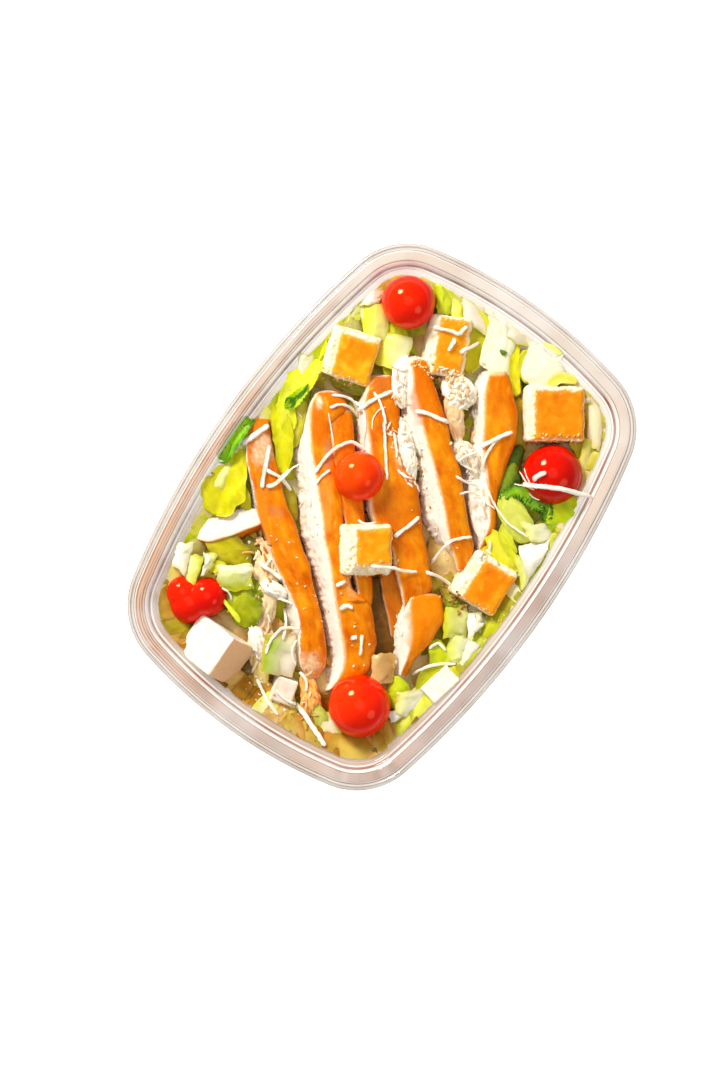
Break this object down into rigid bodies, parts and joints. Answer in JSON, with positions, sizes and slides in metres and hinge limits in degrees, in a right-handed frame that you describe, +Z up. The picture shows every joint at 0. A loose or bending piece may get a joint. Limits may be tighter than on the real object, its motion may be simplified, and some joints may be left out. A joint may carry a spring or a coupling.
{
  "type": "chicken caesar salad",
  "caption": "Chicken caesar salad in a clear plastic tray: lettuce, chicken strips, croutons, cherry tomatoes and shredded cheese.",
  "frame": {"origin": "middle of the tray's underside, on the surface it stands on", "axes": "+Z up, +Y along the tray's long side towards the end with the single tomato and the large crouton, +X along its short side"},
  "size_m": [0.1376, 0.19, 0.0556],
  "materials": {
    "clear_plastic": "clear thermoformed plastic with a faint warm tint, glossy, with bright and dark lines along the rim's steps",
    "lettuce": "fresh leaf, pale ribs, yellow-green to dark green curled edges, slightly glossy",
    "tomato": "smooth glossy skin, red with a slight orange cast, small sharp highlights",
    "toasted_bread": "golden toasted top, cream crumb at the cut sides, dry and grainy",
    "pale_cube": "dense pale cube with a satin surface and slightly crumbled edges",
    "chicken": "browned and glazed top, pale fibrous cut face, moist",
    "torn_chicken": "torn pale fibres with brown edges, moist"
  },
  "bodies": {
    "root": {"tray": "clear_plastic", "lettuce": "lettuce", "tomato_end": "tomato", "tomato_right": "tomato", "tomato_middle": "tomato", "tomato_corner": "tomato", "tomato_double": "tomato", "crouton_a": "toasted_bread", "crouton_b": "toasted_bread", "crouton_c": "toasted_bread", "crouton_d": "toasted_bread", "crouton_e": "toasted_bread", "cube_large": "pale_cube", "cube_small": "pale_cube", "cube_side": "pale_cube", "strip_1": "chicken", "strip_2": "chicken", "strip_2b": "chicken", "strip_3": "chicken", "strip_3b": "chicken", "strip_4": "chicken", "strip_5": "chicken", "strip_6": "chicken", "strip_short": "chicken", "torn_a": "torn_chicken", "torn_b": "torn_chicken", "torn_c": "torn_chicken"}
  },
  "joints": []
}
